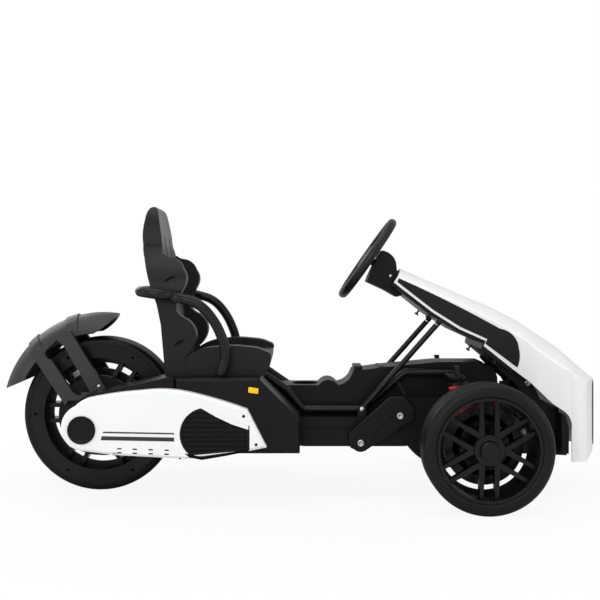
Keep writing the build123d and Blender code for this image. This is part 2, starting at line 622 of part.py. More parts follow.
# front wheels: tyre, rim with six pairs of tapered spokes, hub cap
BEAD_FRONT_R = FRONT_R - 26
for name, sign in SIDES:
    out = sign * FRONT_FACE_Y
    inn = sign * (FRONT_FACE_Y - FRONT_WIDTH)
    mid = (out + inn) / 2
    half = FRONT_WIDTH / 2
    with BuildPart() as front_tyre:
        turned(
            [
                (mid - half, BEAD_FRONT_R + FREE), (mid + half, BEAD_FRONT_R + FREE), (mid + half, FRONT_R - 12),
                (mid + half - 3, FRONT_R - 5), (mid + half - 10, FRONT_R), (mid - half + 10, FRONT_R),
                (mid - half + 3, FRONT_R - 5), (mid - half, FRONT_R - 12),
            ],
            FRONT_X,
            FRONT_R,
        )
    save(front_tyre.part, "front_tyre_" + name)
    with BuildPart() as front_rim:
        turned(
            [
                (mid - half, BEAD_FRONT_R - 6), (mid + half, BEAD_FRONT_R - 6), (mid + half, BEAD_FRONT_R),
                (mid - half, BEAD_FRONT_R),
            ],
            FRONT_X,
            FRONT_R,
        )
        bore = SPINDLE_R + RUNNING
        deep = sign * (FRONT_FACE_Y - FRONT_WIDTH)
        face = sign * (FRONT_FACE_Y - 10)
        turned([(deep, bore), (face, bore), (face, 30), (sign * (FRONT_FACE_Y - 33), 30), (sign * (FRONT_FACE_Y - 40), 17), (deep, 17)], FRONT_X, FRONT_R)
        seat = sign * (FRONT_FACE_Y - 7)
        rim_cap = sign * (FRONT_FACE_Y + 2)
        crown = sign * (FRONT_FACE_Y + 3)
        turned([(seat, 0), (seat, 20), (rim_cap, 18), (crown, 14), (crown, 0)], FRONT_X, FRONT_R)
        turned([(face, 10), (seat, 10), (seat, 30), (face, 32)], FRONT_X, FRONT_R)
        for angle in range(30, 390, 60):
            for aside in (-15, 15):
                low, high = ys(sign, FRONT_FACE_Y - 33, FRONT_FACE_Y - 9)
                foot = (22, 12, low, high)
                low, high = ys(sign, FRONT_FACE_Y - 36, FRONT_FACE_Y - 14)
                spoke(FRONT_X, FRONT_R, angle, aside, foot, (BEAD_FRONT_R - 3, 7, low, high))
    save(front_rim.part, "front_rim_" + name)

# steering wheel on its shaft, with the drop arm and ball at the lower end
with BuildPart() as steering_wheel:
    hub = Plane(origin=(COLUMN_X, 0, COLUMN_Z), x_dir=(0, 1, 0), z_dir=ALONG)
    reach = Vector(0, cos(0.6), 0) + Vector(*ACROSS) * sin(0.6)
    with BuildSketch(Plane(origin=(COLUMN_X, 0, COLUMN_Z), x_dir=tuple(reach), z_dir=tuple(reach.cross(Vector(*ALONG))))):
        with Locations((WHEEL_R, 0)):
            Circle(GRIP_R)
        with BuildLine():
            closed_line([(0, -8), (20, -8), (30, -6, 34, 2), (34, 9), (0, 9)])
        make_face()
    revolve(axis=Axis((COLUMN_X, 0, COLUMN_Z), ALONG))
    with BuildSketch(hub.offset(-3)):
        for angle in (0, 180, 270):
            with Locations(Rotation(0, 0, angle)):
                with BuildLine():
                    closed_line([(24, -13), (WHEEL_R - 2, -9), (WHEEL_R - 2, 9), (24, 13)])
                make_face()
    extrude(amount=7)
    with BuildSketch(Plane(origin=(COLUMN_X, 0, COLUMN_Z), x_dir=tuple(reach), z_dir=ALONG)):
        Circle(COLUMN_R)
    extrude(amount=COLUMN_LENGTH + 4)
    # drop arm and ball, turned about the arm's own line
    side = Vector(0, cos(0.6), 0) + Vector(*ALONG) * sin(0.6)
    down = Vector(*ACROSS)
    neck = (BALL_R ** 2 - DROP_NECK ** 2) ** 0.5
    with BuildSketch(Plane(origin=on_column(COLUMN_LENGTH, 0), x_dir=tuple(side), z_dir=tuple(side.cross(down)))):
        with BuildLine():
            Polyline((DROP_NECK, DROP_ARM + neck), (0, DROP_ARM + neck), (0, 0), (DROP_NECK, 0), (DROP_NECK, DROP_ARM - neck))
            ThreePointArc((DROP_NECK, DROP_ARM - neck), (BALL_R, DROP_ARM), (DROP_NECK, DROP_ARM + neck))
        make_face()
    revolve(axis=Axis(on_column(COLUMN_LENGTH, 0), ACROSS))
save(steering_wheel.part, "steering_wheel")
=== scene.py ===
import json
import math

import bmesh
import bpy
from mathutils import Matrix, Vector


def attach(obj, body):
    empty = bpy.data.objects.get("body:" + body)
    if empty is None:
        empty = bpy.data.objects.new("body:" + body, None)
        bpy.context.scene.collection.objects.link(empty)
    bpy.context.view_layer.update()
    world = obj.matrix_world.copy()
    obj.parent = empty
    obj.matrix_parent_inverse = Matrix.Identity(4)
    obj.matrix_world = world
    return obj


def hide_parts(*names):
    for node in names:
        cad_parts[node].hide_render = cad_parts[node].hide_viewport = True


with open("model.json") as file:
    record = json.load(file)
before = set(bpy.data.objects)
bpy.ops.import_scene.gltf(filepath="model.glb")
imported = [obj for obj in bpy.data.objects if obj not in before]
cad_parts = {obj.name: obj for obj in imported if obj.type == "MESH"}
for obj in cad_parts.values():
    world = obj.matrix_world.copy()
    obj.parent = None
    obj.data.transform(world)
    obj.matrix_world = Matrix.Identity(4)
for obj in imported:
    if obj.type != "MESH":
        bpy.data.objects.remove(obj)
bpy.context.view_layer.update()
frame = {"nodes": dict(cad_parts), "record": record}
NODES = frame["nodes"]
SLOTS = {row["node"]: row["material_slot"] for row in frame["record"]["subparts"]}
SIDES = (("right", -1.0), ("left", 1.0))
scene = bpy.context.scene

# fixed places and measures of the kart, in metres
REAR = (-0.435, 0.0, 0.167)
FRONT_X, FRONT_Z = 0.368, 0.129
FRONT_FACE = 0.355
FRONT_TYRE_HALF = 0.048
DAMPER_Y = 0.180
COLUMN_FOOT = (0.151, 0, 0.507)
COLUMN_TILT = math.radians(34.8)
COLUMN_RUN = (math.cos(COLUMN_TILT), 0.0, -math.sin(COLUMN_TILT))
TUBE_RADIUS = 0.0105
STRUT_RADIUS = 0.00605
COVER_FACE = 0.2702
STRIPE_FACES = (0.2697, 0.2704)
INTAKE_FACES = (0.2606, 0.2648)
CHEEK_FACES = (0.100, 0.108)

# the same in millimetres
SEAT_HALF, HEAD_HALF, BOLSTER, BELT_SLOT_RADIUS = 195.0, 105.0, 47.0, 6.5
ARM_Y = 221
RIM_HOLE_Y = 50
RIM_HOLE_RADIUS = 141
LINK_FACE = 148.6
NOSE_CENTRE, NOSE_RADIUS, NOSE_FRONT, NOSE_BEND_Z, NOSE_LEAN = 488.6, 158.4, 650, 205, 14 / 46
HOOD_EDGE_X, HOOD_EDGE_HALF, HOOD_FLARE, TRAY_GAP = 190, 70.6, 0.3107, 0.4
INTAKE_TOP, INTAKE_FOOT, INTAKE_BEND_X, INTAKE_ROUND = 203, 108, -199, (42.0, 58)

# numbers of the materials: noise scales and details, gloss of the coat, height of the grain in metres
SLOW_SCALE, SLOW_DETAIL, FINE_DETAIL = 9.0, 3.0, 2.0
SLOW_LOW, SLOW_HIGH = 0.3, 0.7
COAT_ROUGHNESS = 0.12
GRAIN_HEIGHT = 0.0004


def base_material(name, colour, rough, metal=0.0, coat=0.0, specular=0.5):
    made = bpy.data.materials.new(name)
    made.use_nodes = True
    shader = made.node_tree.nodes["Principled BSDF"]
    shader.inputs["Base Color"].default_value = (*colour, 1)
    shader.inputs["Roughness"].default_value = rough
    shader.inputs["Metallic"].default_value = metal
    shader.inputs["Coat Weight"].default_value = coat
    shader.inputs["Coat Roughness"].default_value = COAT_ROUGHNESS
    shader.inputs["Specular IOR Level"].default_value = specular
    return made, shader


def add_noise(tree, scale, detail, coords):
    made = tree.nodes.new("ShaderNodeTexNoise")
    made.inputs["Scale"].default_value = scale
    made.inputs["Detail"].default_value = detail
    tree.links.new(coords.outputs["Object"], made.inputs["Vector"])
    return made


def moulded(name, colour, rough, grain, depth, tone, coat=0.0, metal=0.0, specular=0.5, spread=0.12):
    """Moulded or painted surface: fine grain, slow change of tone and of gloss."""
    made, shader = base_material(name, colour, rough, metal, coat, specular)
    tree = made.node_tree
    coords = tree.nodes.new("ShaderNodeTexCoord")
    slow = add_noise(tree, SLOW_SCALE, SLOW_DETAIL, coords)
    ramp = tree.nodes.new("ShaderNodeMapRange")
    ramp.inputs["From Min"].default_value = SLOW_LOW
    ramp.inputs["From Max"].default_value = SLOW_HIGH
    ramp.inputs["To Min"].default_value = rough * (1 - spread)
    ramp.inputs["To Max"].default_value = min(1.0, rough * (1 + spread))
    tree.links.new(slow.outputs["Fac"], ramp.inputs["Value"])
    tree.links.new(ramp.outputs["Result"], shader.inputs["Roughness"])
    mix = tree.nodes.new("ShaderNodeMix")
    mix.data_type = "RGBA"
    mix.inputs["A"].default_value = (*[c * (1 - tone) for c in colour], 1)
    mix.inputs["B"].default_value = (*[min(1.0, c * (1 + tone)) for c in colour], 1)
    tree.links.new(slow.outputs["Fac"], mix.inputs["Factor"])
    tree.links.new(mix.outputs["Result"], shader.inputs["Base Color"])
    fine = add_noise(tree, grain, FINE_DETAIL, coords)
    bump = tree.nodes.new("ShaderNodeBump")
    bump.inputs["Strength"].default_value = depth
    bump.inputs["Distance"].default_value = GRAIN_HEIGHT
    tree.links.new(fine.outputs["Fac"], bump.inputs["Height"])
    tree.links.new(bump.outputs["Normal"], shader.inputs["Normal"])
    return made


MATERIALS = {
    "white": moulded(
        "white_gloss", (0.90, 0.905, 0.91), 0.30, grain=260, depth=0.010, tone=0.004, coat=0.15, spread=0.04
    ),
    "black": moulded(
        "black_moulding", (0.0050, 0.0050, 0.0054), 0.40, grain=1400, depth=0.06, tone=0.15, specular=0.16
    ),
    "grey": moulded(
        "dark_grey_moulding", (0.027, 0.0275, 0.029), 0.44, grain=1500, depth=0.10, tone=0.10, specular=0.38
    ),
    "seat": moulded(
        "seat_moulding", (0.0085, 0.0085, 0.0090), 0.44, grain=1100, depth=0.08, tone=0.12, specular=0.20
    ),
    "tube": moulded(
        "painted_tube", (0.0060, 0.0060, 0.0065), 0.33, grain=700, depth=0.02, tone=0.06, specular=0.26
    ),
    "grip": moulded(
        "soft_grip", (0.0070, 0.0070, 0.0075), 0.44, grain=420, depth=0.02, tone=0.10, specular=0.30
    ),
    "tyre": moulded(
        "tyre", (0.0050, 0.0050, 0.0054), 0.46, grain=1600, depth=0.08, tone=0.12, specular=0.20
    ),
    "rim": moulded(
        "rim", (0.0035, 0.0035, 0.0038), 0.26, grain=1200, depth=0.03, tone=0.10, specular=0.26
    ),
    "steel": moulded(
        "steel", (0.55, 0.56, 0.58), 0.32, grain=600, depth=0.05, tone=0.06, metal=1.0
    ),
    "red": moulded(
        "red_spring", (0.58, 0.006, 0.012), 0.30, grain=500, depth=0.02, tone=0.08, coat=0.2, specular=0.35
    ),
    "panel": moulded(
        "gloss_panel", (0.0055, 0.0055, 0.0060), 0.32, grain=900, depth=0.02, tone=0.08, specular=0.22
    ),
    "grille": moulded(
        "grille", (0.0032, 0.0032, 0.0034), 0.50, grain=1300, depth=0.08, tone=0.1, specular=0.20
    ),
    "stripe": moulded(
        "stripe", (0.036, 0.036, 0.040), 0.40, grain=500, depth=0.01, tone=0.03, specular=0.25
    ),
    # very dark colour: painted shade in slots, holes and recesses, and the own black of the lip under the
    # intakes
    "hole": moulded(
        "painted_shade_and_black", (0.0020, 0.0020, 0.0020), 0.75, grain=900, depth=0.08, tone=0.1, specular=0.08
    ),
    "yellow": moulded(
        "yellow_plate", (0.95, 0.60, 0.006), 0.50, grain=700, depth=0.03, tone=0.04, specular=0.2
    ),
    "seat_back": moulded(
        "seat_back_moulding", (0.0090, 0.0090, 0.0095), 0.44, grain=1100, depth=0.08, tone=0.12, specular=0.20
    ),
}

# the headrest's painted highlight: its foot, the height it fades in over, and the range of how far its faces
# look forward
HEADREST_FOOT = 0.520
HIGHLIGHT_FADE = 0.02
HIGHLIGHT_FACING = (0.55, 0.85)
HIGHLIGHT_COLOUR = (0.13, 0.127, 0.128)


def painted_front_highlight(made, above, colour):
    """Faces that look forward above a height take a lighter colour: a painted highlight where they face the
    light.
    """
    tree = made.node_tree
    shader = tree.nodes["Principled BSDF"]
    base = shader.inputs["Base Color"].links[0].from_socket
    coords = tree.nodes.new("ShaderNodeTexCoord")
    spot = tree.nodes.new("ShaderNodeSeparateXYZ")
    tree.links.new(coords.outputs["Object"], spot.inputs[0])
    way = tree.nodes.new("ShaderNodeSeparateXYZ")
    tree.links.new(coords.outputs["Normal"], way.inputs[0])
    shares = []
    for socket, low, high in ((spot.outputs["Z"], above, above + HIGHLIGHT_FADE), (way.outputs["X"], *HIGHLIGHT_FACING)):
        ramp = tree.nodes.new("ShaderNodeMapRange")
        ramp.inputs["From Min"].default_value = low
        ramp.inputs["From Max"].default_value = high
        tree.links.new(socket, ramp.inputs["Value"])
        shares.append(ramp.outputs["Result"])
    both = tree.nodes.new("ShaderNodeMath")
    both.operation = "MULTIPLY"
    tree.links.new(shares[0], both.inputs[0])
    tree.links.new(shares[1], both.inputs[1])
    mix = tree.nodes.new("ShaderNodeMix")
    mix.data_type = "RGBA"
    mix.inputs["B"].default_value = (*colour, 1)
    tree.links.new(both.outputs[0], mix.inputs["Factor"])
    tree.links.new(base, mix.inputs["A"])
    tree.links.new(mix.outputs["Result"], shader.inputs["Base Color"])


# painted highlight: the forward faces of the headrest get a lighter colour
painted_front_highlight(MATERIALS["seat_back"], HEADREST_FOOT, HIGHLIGHT_COLOUR)

# look of each kind of CAD node, and the width its edges are rounded by, in metres
NODE_LOOK = {
    "rear_tyre": "tyre", "rear_rim": "rim", "rear_axle": "steel", "rear_arm": "black", "side_cover": "white",
    "intake_grille": "grille", "rear_fender": "grey", "fender_strut": "grey", "seat_base": "black",
    "seat_back": "seat_back", "seat_cushion": "seat", "backrest_hoop": "tube", "armrest": "tube",
    "frame_rail": "tube", "floor_pan": "black", "console": "black", "front_bulkhead": "black",
    "hood": "white", "hood_panel": "panel", "hood_frame": "black", "nose_strip": "panel",
    "hood_strut": "tube", "axle_carrier": "tube", "shock_tower": "grille", "damper": "tube", "spring": "red",
    "knuckle": "steel", "tie_rod": "tube", "front_tyre": "tyre", "front_rim": "rim", "steering_wheel": "grip",
}
BEVELS = {
    "seat_base": 0.008, "rear_arm": 0.006, "floor_pan": 0.004, "console": 0.005, "side_cover": 0.003,
    "front_bulkhead": 0.005, "fender_strut": 0.003,
}
EDGE_WIDTH = 0.001


def family(node):
    """Name of a node without its side."""
    return node.rsplit("_", 1)[0] if node.endswith(("_right", "_left")) else node


# edges sharper than these angles are rounded, on pieces made here and on CAD nodes
PIECE_SHARP = math.radians(30)
CAD_SHARP = math.radians(32)
WELD_DISTANCE = 0.00002


def edge_round(obj, width, segments=2, sharp=PIECE_SHARP):
    bevel = obj.modifiers.new("bevel", "BEVEL")
    bevel.width = width
    bevel.segments = segments
    bevel.limit_method = "ANGLE"
    bevel.angle_limit = sharp
    even = obj.modifiers.new("even", "WEIGHTED_NORMAL")
    even.keep_sharp = False


def soften(obj, width):
    """Rounds the sharp edges of a CAD node and smooths its faces, with its own points left alone."""
    with bpy.context.temp_override(object=obj, active_object=obj, selected_editable_objects=[obj]):
        bpy.ops.mesh.customdata_custom_splitnormals_clear()
    obj.data.polygons.foreach_set("use_smooth", [True] * len(obj.data.polygons))
    weld = obj.modifiers.new("weld", "WELD")
    weld.merge_threshold = WELD_DISTANCE
    edge_round(obj, width, 3, CAD_SHARP)


for node, obj in NODES.items():
    kind = family(node)
    obj.data.materials.clear()
    obj.data.materials.append(MATERIALS[NODE_LOOK[kind]])
    if kind != "hood":
        soften(obj, BEVELS.get(kind, EDGE_WIDTH))


def mesh_object(name, verts, faces):
    """Object with a mesh whose faces look outward."""
    mesh = bpy.data.meshes.new(name)
    mesh.from_pydata([tuple(v) for v in verts], [], faces)
    mesh.validate()
    bm = bmesh.new()
    bm.from_mesh(mesh)
    bmesh.ops.recalc_face_normals(bm, faces=bm.faces)
    bm.to_mesh(mesh)
    bm.free()
    obj = bpy.data.objects.new(name, mesh)
    scene.collection.objects.link(obj)
    return obj


def new_piece(name, verts, faces, look, body, slot, smooth=True):
    """Piece of the kart with its look and the body it rides; the slot argument is not used."""
    obj = mesh_object(name, verts, faces)
    obj.data.polygons.foreach_set("use_smooth", [smooth] * len(obj.data.polygons))
    obj.data.materials.append(MATERIALS[look])
    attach(obj, body)
    return obj


def frame_of(axis):
    """Two unit directions across an axis, and the axis itself as a unit direction."""
    z = Vector(axis).normalized()
    x = z.cross(Vector((0, 0, 1)) if abs(z.z) < 0.9 else Vector((1, 0, 0))).normalized()
    return x, z.cross(x), z


def turned_mesh(profile, centre, axis, steps, closed=False):
    """Ring of (along, radius) points turned about an axis; ends on the axis close it."""
    x, y, z = frame_of(axis)
    centre = Vector(centre)
    verts, rows = [], []
    for along, radius in profile:
        if radius == 0:
            rows.append([len(verts)])
            verts.append(centre + z * along)
            continue
        rows.append(list(range(len(verts), len(verts) + steps)))
        for k in range(steps):
            turn = 2 * math.pi * k / steps
            verts.append(centre + z * along + (x * math.cos(turn) + y * math.sin(turn)) * radius)
    faces = []
    pairs = list(zip(rows, rows[1:])) + ([(rows[-1], rows[0])] if closed else [])
    for a, b in pairs:
        for k in range(steps):
            n = (k + 1) % steps
            if len(a) == 1 and len(b) == 1:
                continue
            if len(a) == 1:
                faces.append((a[0], b[k], b[n]))
            elif len(b) == 1:
                faces.append((a[k], a[n], b[0]))
            else:
                faces.append((a[k], a[n], b[n], b[k]))
    return verts, faces


def swept_mesh(path, radius, steps):
    """Round bar along a list of points."""
    verts, faces = [], []
    path = [Vector(p) for p in path]
    last = None
    for i, spot in enumerate(path):
        run = (path[min(i + 1, len(path) - 1)] - path[max(i - 1, 0)]).normalized()
        if last is None:
            x, y, _ = frame_of(run)
        else:
            x = (last - run * last.dot(run)).normalized()
            y = run.cross(x)
        last = x
        for k in range(steps):
            turn = 2 * math.pi * k / steps
            verts.append(spot + (x * math.cos(turn) + y * math.sin(turn)) * radius)
    for i in range(len(path) - 1):
        for k in range(steps):
            n = (k + 1) % steps
            a = i * steps
            faces.append((a + k, a + n, a + steps + n, a + steps + k))
    faces.append(tuple(range(steps)))
    faces.append(tuple(range((len(path) - 1) * steps, len(path) * steps)))
    return verts, faces


def prism_faces(n):
    """Faces of a solid between two outlines of n points each."""
    ends = [tuple(range(n)), tuple(range(n, 2 * n))]
    return ends + [(k, (k + 1) % n, n + (k + 1) % n, n + k) for k in range(n)]


def plate_mesh(outline, low_y, high_y):
    """Flat plate with an outline in X and Z between two Y planes."""
    verts = [(x, y, z) for y in (low_y, high_y) for x, z in outline]
    return verts, prism_faces(len(outline))


def joined(parts):
    """Several meshes as one."""
    verts, faces = [], []
    for more_verts, more_faces in parts:
        base = len(verts)
        verts += list(more_verts)
        faces += [tuple(i + base for i in face) for face in more_faces]
    return verts, faces


def mm(points):
    """Points given in millimetres, in metres."""
    return [tuple(c / 1000 for c in p) for p in points]


def combined(solid, tool, way="DIFFERENCE"):
    """What is left of one closed mesh after another is cut away, or what both share."""
    pair = [mesh_object("cut_%d" % k, *shape) for k, shape in enumerate((solid, tool))]
    cut = pair[0].modifiers.new("cut", "BOOLEAN")
    cut.operation = way
    cut.solver = "EXACT"
    cut.object = pair[1]
    bpy.context.view_layer.update()
    shown = pair[0].evaluated_get(bpy.context.evaluated_depsgraph_get())
    done = shown.to_mesh()
    verts = [v.co.copy() for v in done.vertices]
    faces = [tuple(f.vertices) for f in done.polygons]
    shown.to_mesh_clear()
    for obj in pair:
        mesh = obj.data
        bpy.data.objects.remove(obj)
        bpy.data.meshes.remove(mesh)
    return verts, faces


def front_centre(sign):
    """Middle of a front wheel."""
    return FRONT_X, sign * (FRONT_FACE - FRONT_TYRE_HALF), FRONT_Z


def tyre_ring(half):
    """Closed section of a tyre from (distance to its middle plane, radius) points of one half."""
    return mm([(-y, r) for y, r in half] + [(y, r) for y, r in reversed(half)])


# tyre of the rear wheel, with the lines on its side wall
def rear_tyre():
    half = [
        (46, 140.6), (48.3, 146), (50.3, 150.6), (50.8, 152.2), (50.0, 153.0), (50.9, 154.0), (50.2, 155.0),
        (51.0, 156.2), (50.2, 157.4), (50.6, 158.8), (49.6, 161.0), (47.9, 163.2), (45.2, 165.2), (41, 166.5),
        (34, 167.0),
    ]
    tyre_mesh = turned_mesh(tyre_ring(half), REAR, (0, 1, 0), 192, closed=True)
    tyre = new_piece("rear_tyre_cover", *tyre_mesh, "tyre", "rear_wheel", "tyre")
    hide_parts("rear_tyre")


# tyre of a front wheel, with four grooves on each side of its middle
def front_tyre(side, sign):
    half = [(46.5, 103.6), (48, 105.5), (48.4, 110), (48, 116.0), (46.8, 120.0), (44.4, 123.8), (41, 126.4)]
    outermost, wide, narrow, floor = 36.0, 1.9, 1.1, 126.6
    for groove in (36.0, 27.0, 18.0, 9.0):
        edge = 128.4 + 0.02 * (outermost - groove)
        half += [(groove + wide, edge), (groove + narrow, floor)]
        half += [(groove - narrow, floor), (groove - wide, edge)]
    half.append((4.0, 129.0))
    tyre_mesh = turned_mesh(tyre_ring(half), front_centre(sign), (0, 1, 0), 168, closed=True)
    tyre = new_piece("front_tyre_cover_" + side, *tyre_mesh, "tyre", "front_wheel_" + side, "tyre")
    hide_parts("front_tyre_" + side)


# solid rings inside the rims, behind the spokes, and the brake drums of the front wheels
def wheel_webs():
    rear_rows = ([(-3, 109), (3, 109), (3, 124.5), (-3, 124.5)], [(-2, 40), (2, 40), (2, 97), (-2, 97)])
    rings = [turned_mesh(mm(row), REAR, (0, 1, 0), 128, closed=True) for row in rear_rows]
    new_piece("rear_web", *joined(rings), "rim", "rear_wheel", "rim", smooth=False)
    front_rows = (
        [(-48, 90), (-42, 90), (-42, 98.5), (-48, 98.5)],
        [(-46, 20), (-32, 20), (-32, 50), (-41, 62), (-42, 80), (-46, 80)],
    )
    for side, sign in SIDES:
        centre, out = front_centre(sign), (0, sign, 0)
        rings = [turned_mesh(mm(row), centre, out, 112, closed=True) for row in front_rows]
        new_piece("front_web_" + side, *joined(rings), "rim", "front_wheel_" + side, "rim", smooth=False)


# most of a straight part that a round may take at each end
NEAR_HALF = 0.49


def rounded(points, reach, steps):
    """Line through points with its corners rounded, the round starting at a reach from each corner."""
    points = [Vector(p) for p in points]
    made = [points[0]]
    for a, b, c in zip(points, points[1:], points[2:]):
        back = (a - b).normalized() * min(reach, (a - b).length * NEAR_HALF)
        ahead = (c - b).normalized() * min(reach, (c - b).length * NEAR_HALF)
        for k in range(steps + 1):
            share = k / steps
            made.append(b + back * (1 - share) ** 2 + ahead * share ** 2)
    made.append(points[-1])
    return made


# arm rests, and the bent tube behind the seat that they run on from
def arm_tubes():
    low = [(-262, 427), (-205, 412), (-172, 373), (-151, 322), (-152, 290), (-165, 259)]
    for side, sign in SIDES:
        path = mm([(x, sign * ARM_Y, z) for x, z in low])
        arm = swept_mesh(rounded(path, 0.024, 10), TUBE_RADIUS, 28)
        piece = new_piece("armrest_tube_" + side, *arm, "tube", "chassis", SLOTS["armrest_" + side])
        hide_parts("armrest_" + side)
    path = mm([(-262, -ARM_Y, 427), (-331, -ARM_Y, 436), (-331, ARM_Y, 436), (-262, ARM_Y, 427)])
    hoop = swept_mesh(rounded(path, 0.042, 14), TUBE_RADIUS, 28)
    piece = new_piece("backrest_tube", *hoop, "tube", "chassis", SLOTS["backrest_hoop"])
    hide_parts("backrest_hoop")


def arc(a, middle, b, steps=10):
    """Points of a smooth curve from a to b through a middle point, without a itself."""
    made = []
    for k in range(1, steps + 1):
        s = k / steps
        shares = ((1 - s) * (1 - 2 * s), 4 * s * (1 - s), s * (2 * s - 1))
        made.append(tuple(shares[0] * a[i] + shares[1] * middle[i] + shares[2] * b[i] for i in range(2)))
    return made


def tray_half(x):
    """Half width of the hood at its lower edge less a small gap, in millimetres."""
    return HOOD_EDGE_HALF + (x - HOOD_EDGE_X) * HOOD_FLARE - TRAY_GAP


# thin tray under the hood, with the column housing and the cheeks of the hinge
def hood_tray():
    edge = [(203.6, 454), (283, 391), (339, 355), (393.5, 330.6), (389, 320), (449, 271)]
    under = [(444, 265), (384.5, 313.5), (387.5, 325), (336, 348.5), (279, 384.5), (198, 448)]
    outline = edge + under
    verts = mm([(x, end * tray_half(x), z) for end in (-1, 1) for x, z in outline])
    plate = (verts, prism_faces(len(outline)))
    housing = [(147, 455)] + arc((147, 455), (161, 488), (181, 524)) + arc((181, 524), (200, 515), (211, 498))
    housing += [(213, 481), (232, 428), (212, 422), (188, 436)]
    cheek = [(420, 290), (440, 277.5), (470, 258)] + arc((470, 258), (488, 252), (492, 242))
    cheek += arc((492, 242), (484, 231), (468, 232)) + [(432, 262), (415, 281)]
    bore = turned_mesh(mm([(-70, 0), (-70, 8.4), (420, 8.4), (420, 0)]), COLUMN_FOOT, COLUMN_RUN, 40)
    whole = [combined(solid, bore) for solid in (plate, plate_mesh(mm(housing), -0.045, 0.045))]
    for _, sign in SIDES:
        low, high = sorted(sign * face for face in CHEEK_FACES)
        whole.append(plate_mesh(mm(cheek), low, high))
    tray = new_piece("hood_tray", *joined(whole), "black", "chassis", SLOTS["hood_frame"], smooth=False)
    edge_round(tray, 0.0025)
    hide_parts("hood_frame")
    for side, sign in SIDES:
        top = swept_mesh(mm([(294, sign * 100, 364.3), (304, sign * 100, 375.5)]), STRUT_RADIUS, 24)
        new_piece("strut_top_" + side, *top, "tube", "chassis", SLOTS["hood_strut_" + side])


def side_prism(outline, low, high):
    """Solid with an outline in X and Z between two Y planes, in millimetres."""
    return plate_mesh(mm(outline), low / 1000, high / 1000)


def front_prism(outline, low, high):
    """Solid with an outline in Y and Z between two X planes, in millimetres."""
    return mm([(x, y, z) for x in (low, high) for y, z in outline]), prism_faces(len(outline))


def curved_line(points):
    """Outline from (x, z) line steps and (mx, mz, x, z) arc steps through a middle point (mx, mz)."""
    made = [points[0]]
    for step in points[1:]:
        if len(step) == 2:
            made.append(step)
        else:
            made += arc(made[-1], step[:2], step[2:], 9)
    return made


def half_circle(y, z, radius, start):
    """Points of half a circle round (y, z), from a start angle on."""
    angles = [start + math.pi * k / 8 for k in range(9)]
    return [(y + radius * math.cos(a), z + radius * math.sin(a)) for a in angles]


# shell of the seat: back with shoulder bolsters and belt slots, and the cushion with its side bolsters
def seat():
    half, head = SEAT_HALF, HEAD_HALF
    side = curved_line([
        (-278, 262), (-237, 262), (-236, 303), (-220, 322, -214, 344), (-219, 363, -234, 379),
        (-251, 390, -255, 404), (-251, 421, -241, 441), (-234.5, 463, -241, 482), (-252, 500, -272, 508),
        (-283, 512, -288, 520), (-303, 602), (-307, 613, -314, 618), (-325, 610, -331, 586),
        (-334, 545, -325, 505), (-311, 453, -296, 410), (-287, 366),
    ])
    front = curved_line([
        (-half, 262), (-half, 425), (-half + 14, 482, -head - 12, 535), (-head + 6, 600, -55, 618), (55, 618),
        (head - 6, 600, head + 12, 535), (half - 14, 482, half, 425), (half, 262),
    ])
    hollow = curved_line([
        (-150, 625), (-281, 625), (-294, 575, -290, 524), (-272, 412, -248, 304), (-150, 304),
    ])
    back = combined(side_prism(side, -half - 4, half + 4), front_prism(front, -420, -140), "INTERSECT")
    back = combined(back, side_prism(hollow, -half + BOLSTER, half - BOLSTER))
    for y in (-45, 45):
        slot = half_circle(y, 547.5, BELT_SLOT_RADIUS, 0.0) + half_circle(y, 516.5, BELT_SLOT_RADIUS, math.pi)
        back = combined(back, front_prism(slot, -400, -150))
    piece = new_piece("seat_back_shell", *back, "seat_back", "chassis", SLOTS["seat_back"])
    edge_round(piece, 0.009, 3)
    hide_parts("seat_back")
    side = curved_line([
        (-238, 262), (-235, 302), (-206, 316, -178, 321), (-145, 324, -112, 322), (-88, 319, -72, 313),
        (-61, 307, -60.5, 296), (-62, 282), (-74, 262),
    ])
    hollow = curved_line([(-260, 284), (-170, 286, -100, 301), (-40, 301), (-40, 345), (-260, 345)])
    inner = half - BOLSTER - 3
    cushion = combined(side_prism(side, -half, half), side_prism(hollow, -inner, inner))
    piece = new_piece("seat_cushion_shell", *cushion, "seat", "chassis", SLOTS["seat_cushion"])
    edge_round(piece, 0.007, 3)
    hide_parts("seat_cushion")


# coil spring over the sleeve of a damper
def coil(side, sign):
    foot = Vector((0.347, sign * DAMPER_Y, 0.104))
    head = Vector((0.3245, sign * DAMPER_Y, 0.287))
    run = (head - foot).normalized()
    x, y, _ = frame_of(run)
    turns, count = 6.5, 168
    start, length, wire_reach, wire_radius = 0.0535, 0.083, 0.0182, 0.0041
    path = []
    for k in range(count + 1):
        share = k / count
        angle = 2 * math.pi * turns * share
        rise = start + length * share
        path.append(foot + run * rise + (x * math.cos(angle) + y * math.sin(angle)) * wire_reach)
    spring = new_piece("coil_" + side, *swept_mesh(path, wire_radius, 10), "red", "chassis", "red_spring")
    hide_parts("spring_" + side)
    section = [(50, 0), (50, 13), (52, 14.5), (138, 14.5), (140, 13), (140, 0)]
    sleeve = turned_mesh(mm(section), foot, run, 32)
    new_piece("damper_sleeve_" + side, *sleeve, "red", "chassis", "red_spring")


# sections of the two kinds of bolt head above its seat, as shares of (height, radius)
RINGED_HEAD = [(0.55, 1.0), (0.85, 0.93), (1.0, 0.80), (1.0, 0.52), (0.35, 0.46), (0.3, 0)]
ROUND_HEAD = [(0.45, 1.0), (0.8, 0.82), (1.0, 0.45), (1.04, 0)]
HEAD_SINK, HEAD_FOOT = -1, 0.99


